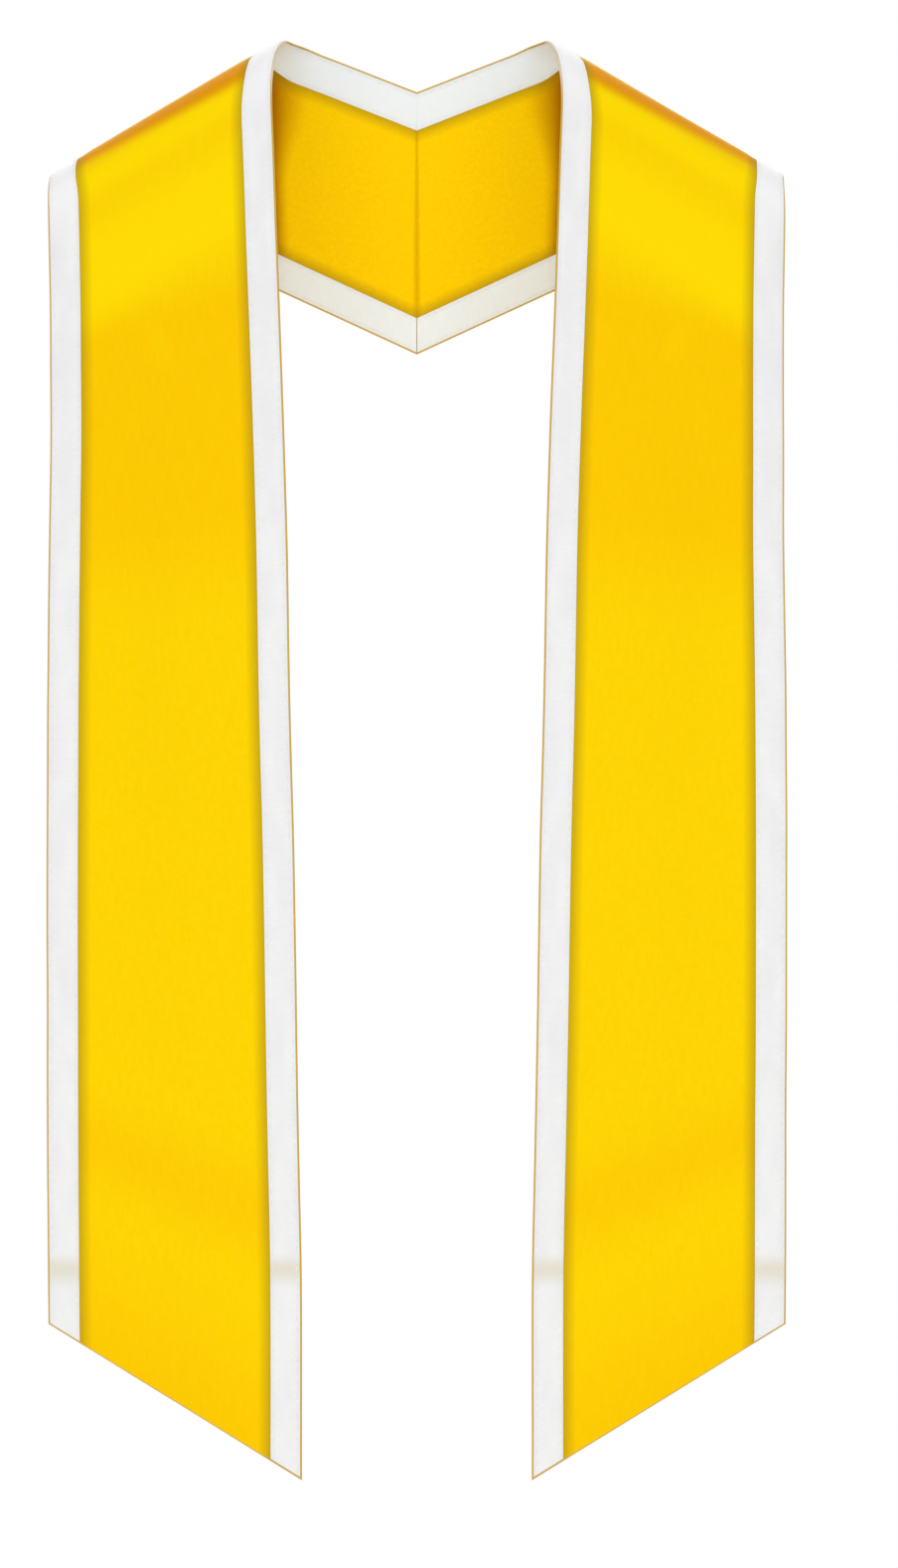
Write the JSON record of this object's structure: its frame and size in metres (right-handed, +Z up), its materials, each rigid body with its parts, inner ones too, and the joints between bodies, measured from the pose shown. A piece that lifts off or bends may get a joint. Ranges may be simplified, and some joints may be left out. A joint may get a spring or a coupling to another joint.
{
  "type": "graduation stole",
  "caption": "Satin graduation stole as worn: mitred yoke behind the neck, rolled shoulders, long front panels with slanted hems, white ribbon along both edges.",
  "frame": {"origin": "midway between the two shoulders, level with the middle of the cloth at the top of the roll over each shoulder, at its neck edge", "axes": "+Z up along the hanging panels, +X across the shoulders to the right as seen from the front, +Y from the front panels to the yoke at the back"},
  "size_m": [0.431, 0.1667, 0.8388],
  "materials": {
    "gold_satin": "satin weave with a soft sheen",
    "white_ribbon": "smooth woven ribbon"
  },
  "bodies": {
    "root": {"right_panel": "gold_satin", "left_panel": "gold_satin", "right_neck_ribbon_face": "white_ribbon", "right_neck_ribbon_underside": "white_ribbon", "right_outer_ribbon_face": "white_ribbon", "right_outer_ribbon_underside": "white_ribbon", "left_neck_ribbon_face": "white_ribbon", "left_neck_ribbon_underside": "white_ribbon", "left_outer_ribbon_face": "white_ribbon", "left_outer_ribbon_underside": "white_ribbon"}
  },
  "joints": []
}
